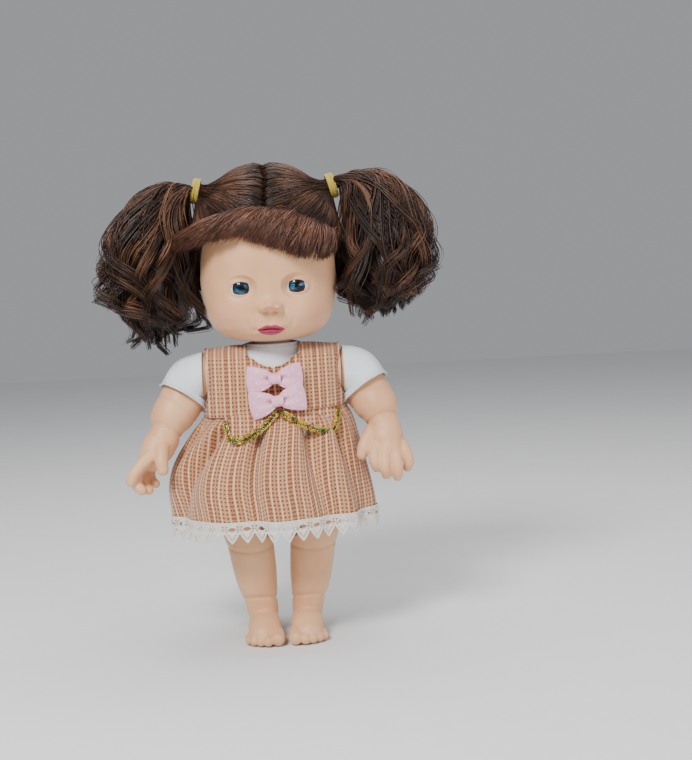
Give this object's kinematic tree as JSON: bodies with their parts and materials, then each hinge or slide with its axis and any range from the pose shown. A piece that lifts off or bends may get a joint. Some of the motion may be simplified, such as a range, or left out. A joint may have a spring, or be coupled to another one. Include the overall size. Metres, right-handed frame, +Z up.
{
  "type": "interactive baby doll",
  "caption": "Standing vinyl baby doll with curly brown pigtails, white T-shirt, checked pinafore with bows and lace hem, jointed limbs and a belly sound button.",
  "frame": {"origin": "on the floor, midway between the feet, under the centre of the doll's outline", "axes": "+Z up, the doll faces -Y, +X is the doll's own left"},
  "size_m": [0.205, 0.0968, 0.286],
  "materials": {
    "skin_vinyl": "satin",
    "body_plastic": "satin",
    "white_plastic": "satin",
    "black_plastic": "satin",
    "red_plastic": "satin",
    "steel": "satin",
    "board": "satin",
    "black_paper": "matte",
    "lead": "satin",
    "hair": "satin",
    "band_elastic": "satin",
    "eye_white": "gloss",
    "iris_blue": "gloss",
    "clear_lens": "gloss",
    "white_jersey": "matte",
    "check_cloth": "matte",
    "hook_tape": "matte",
    "lace": "matte",
    "gold_braid": "satin",
    "pink_ribbon": "satin"
  },
  "bodies": {
    "torso": {"battery_contacts": "steel", "battery_leads": "lead", "battery_tray": "black_plastic", "board_screws": "steel", "body_screws": "steel", "button_cells": "steel", "button_guide": "white_plastic", "button_spring": "steel", "button_switch": "black_plastic", "circuit_board": "board", "dress_bodice": "check_cloth", "dress_fastener": "hook_tape", "dress_skirt": "check_cloth", "hem_lace": "lace", "left_flap": "check_cloth", "left_flap_braid": "gold_braid", "lower_bow": "pink_ribbon", "neck_ring": "white_plastic", "right_flap": "check_cloth", "right_flap_braid": "gold_braid", "sound_chip": "black_plastic", "speaker_cone": "black_paper", "speaker_frame": "steel", "speaker_leads": "lead", "speaker_magnet": "steel", "switch_body": "black_plastic", "torso_back": "body_plastic", "torso_front": "body_plastic", "tshirt_body": "white_jersey", "tshirt_collar": "white_jersey", "upper_bow": "pink_ribbon"},
    "head": {"head_shell": "skin_vinyl", "left_eye_cup": "white_plastic", "right_eye_cup": "white_plastic", "left_eyeball": "eye_white", "right_eyeball": "eye_white", "left_iris": "iris_blue", "right_iris": "iris_blue", "left_eye_lens": "clear_lens", "right_eye_lens": "clear_lens", "hair_cap": "hair", "fringe": "hair", "left_pigtail": "hair", "right_pigtail": "hair", "left_hair_band": "band_elastic", "right_hair_band": "band_elastic"},
    "left_arm": {"left_arm": "skin_vinyl", "left_sleeve": "white_jersey"},
    "right_arm": {"right_arm": "skin_vinyl", "right_sleeve": "white_jersey"},
    "left_leg": {"left_leg": "skin_vinyl"},
    "right_leg": {"right_leg": "skin_vinyl"},
    "sound_button": {"sound_button": "red_plastic"},
    "switch_knob": {"switch_knob": "black_plastic"},
    "battery_cover": {"battery_cover": "body_plastic", "battery_cover_screw": "steel"}
  },
  "joints": [
    {"name": "neck_turn", "type": "hinge", "parent": "torso", "child": "head", "pos_m": [0, 0, 0.184], "axis": [0, 0, 1], "range_deg": [-75, 75]},
    {"name": "left_shoulder", "type": "hinge", "parent": "torso", "child": "left_arm", "pos_m": [0.046, 0, 0.161], "axis": [-1, 0, 0], "range_deg": [-30, 90]},
    {"name": "right_shoulder", "type": "hinge", "parent": "torso", "child": "right_arm", "pos_m": [-0.046, 0, 0.161], "axis": [-1, 0, 0], "range_deg": [-30, 90]},
    {"name": "left_hip", "type": "hinge", "parent": "torso", "child": "left_leg", "pos_m": [0.0215, 0, 0.098], "axis": [-1, 0, 0], "range_deg": [-15, 85], "deforming": ["dress_skirt", "hem_lace"]},
    {"name": "right_hip", "type": "hinge", "parent": "torso", "child": "right_leg", "pos_m": [-0.0215, 0, 0.098], "axis": [-1, 0, 0], "range_deg": [-15, 85]},
    {"name": "button_press", "type": "slide", "parent": "torso", "child": "sound_button", "axis": [0, 1, 0], "range_m": [0, 0.002], "stiffness_N_per_m": 300, "springref_m": -0.002, "deforming": ["button_spring"]},
    {"name": "switch_slide", "type": "slide", "parent": "torso", "child": "switch_knob", "axis": [1, 0, 0], "range_m": [0, 0.004]},
    {"name": "battery_cover_lift", "type": "slide", "parent": "torso", "child": "battery_cover", "axis": [0, 1, 0], "range_m": [0, 0.012], "deforming": ["tshirt_body"]}
  ]
}
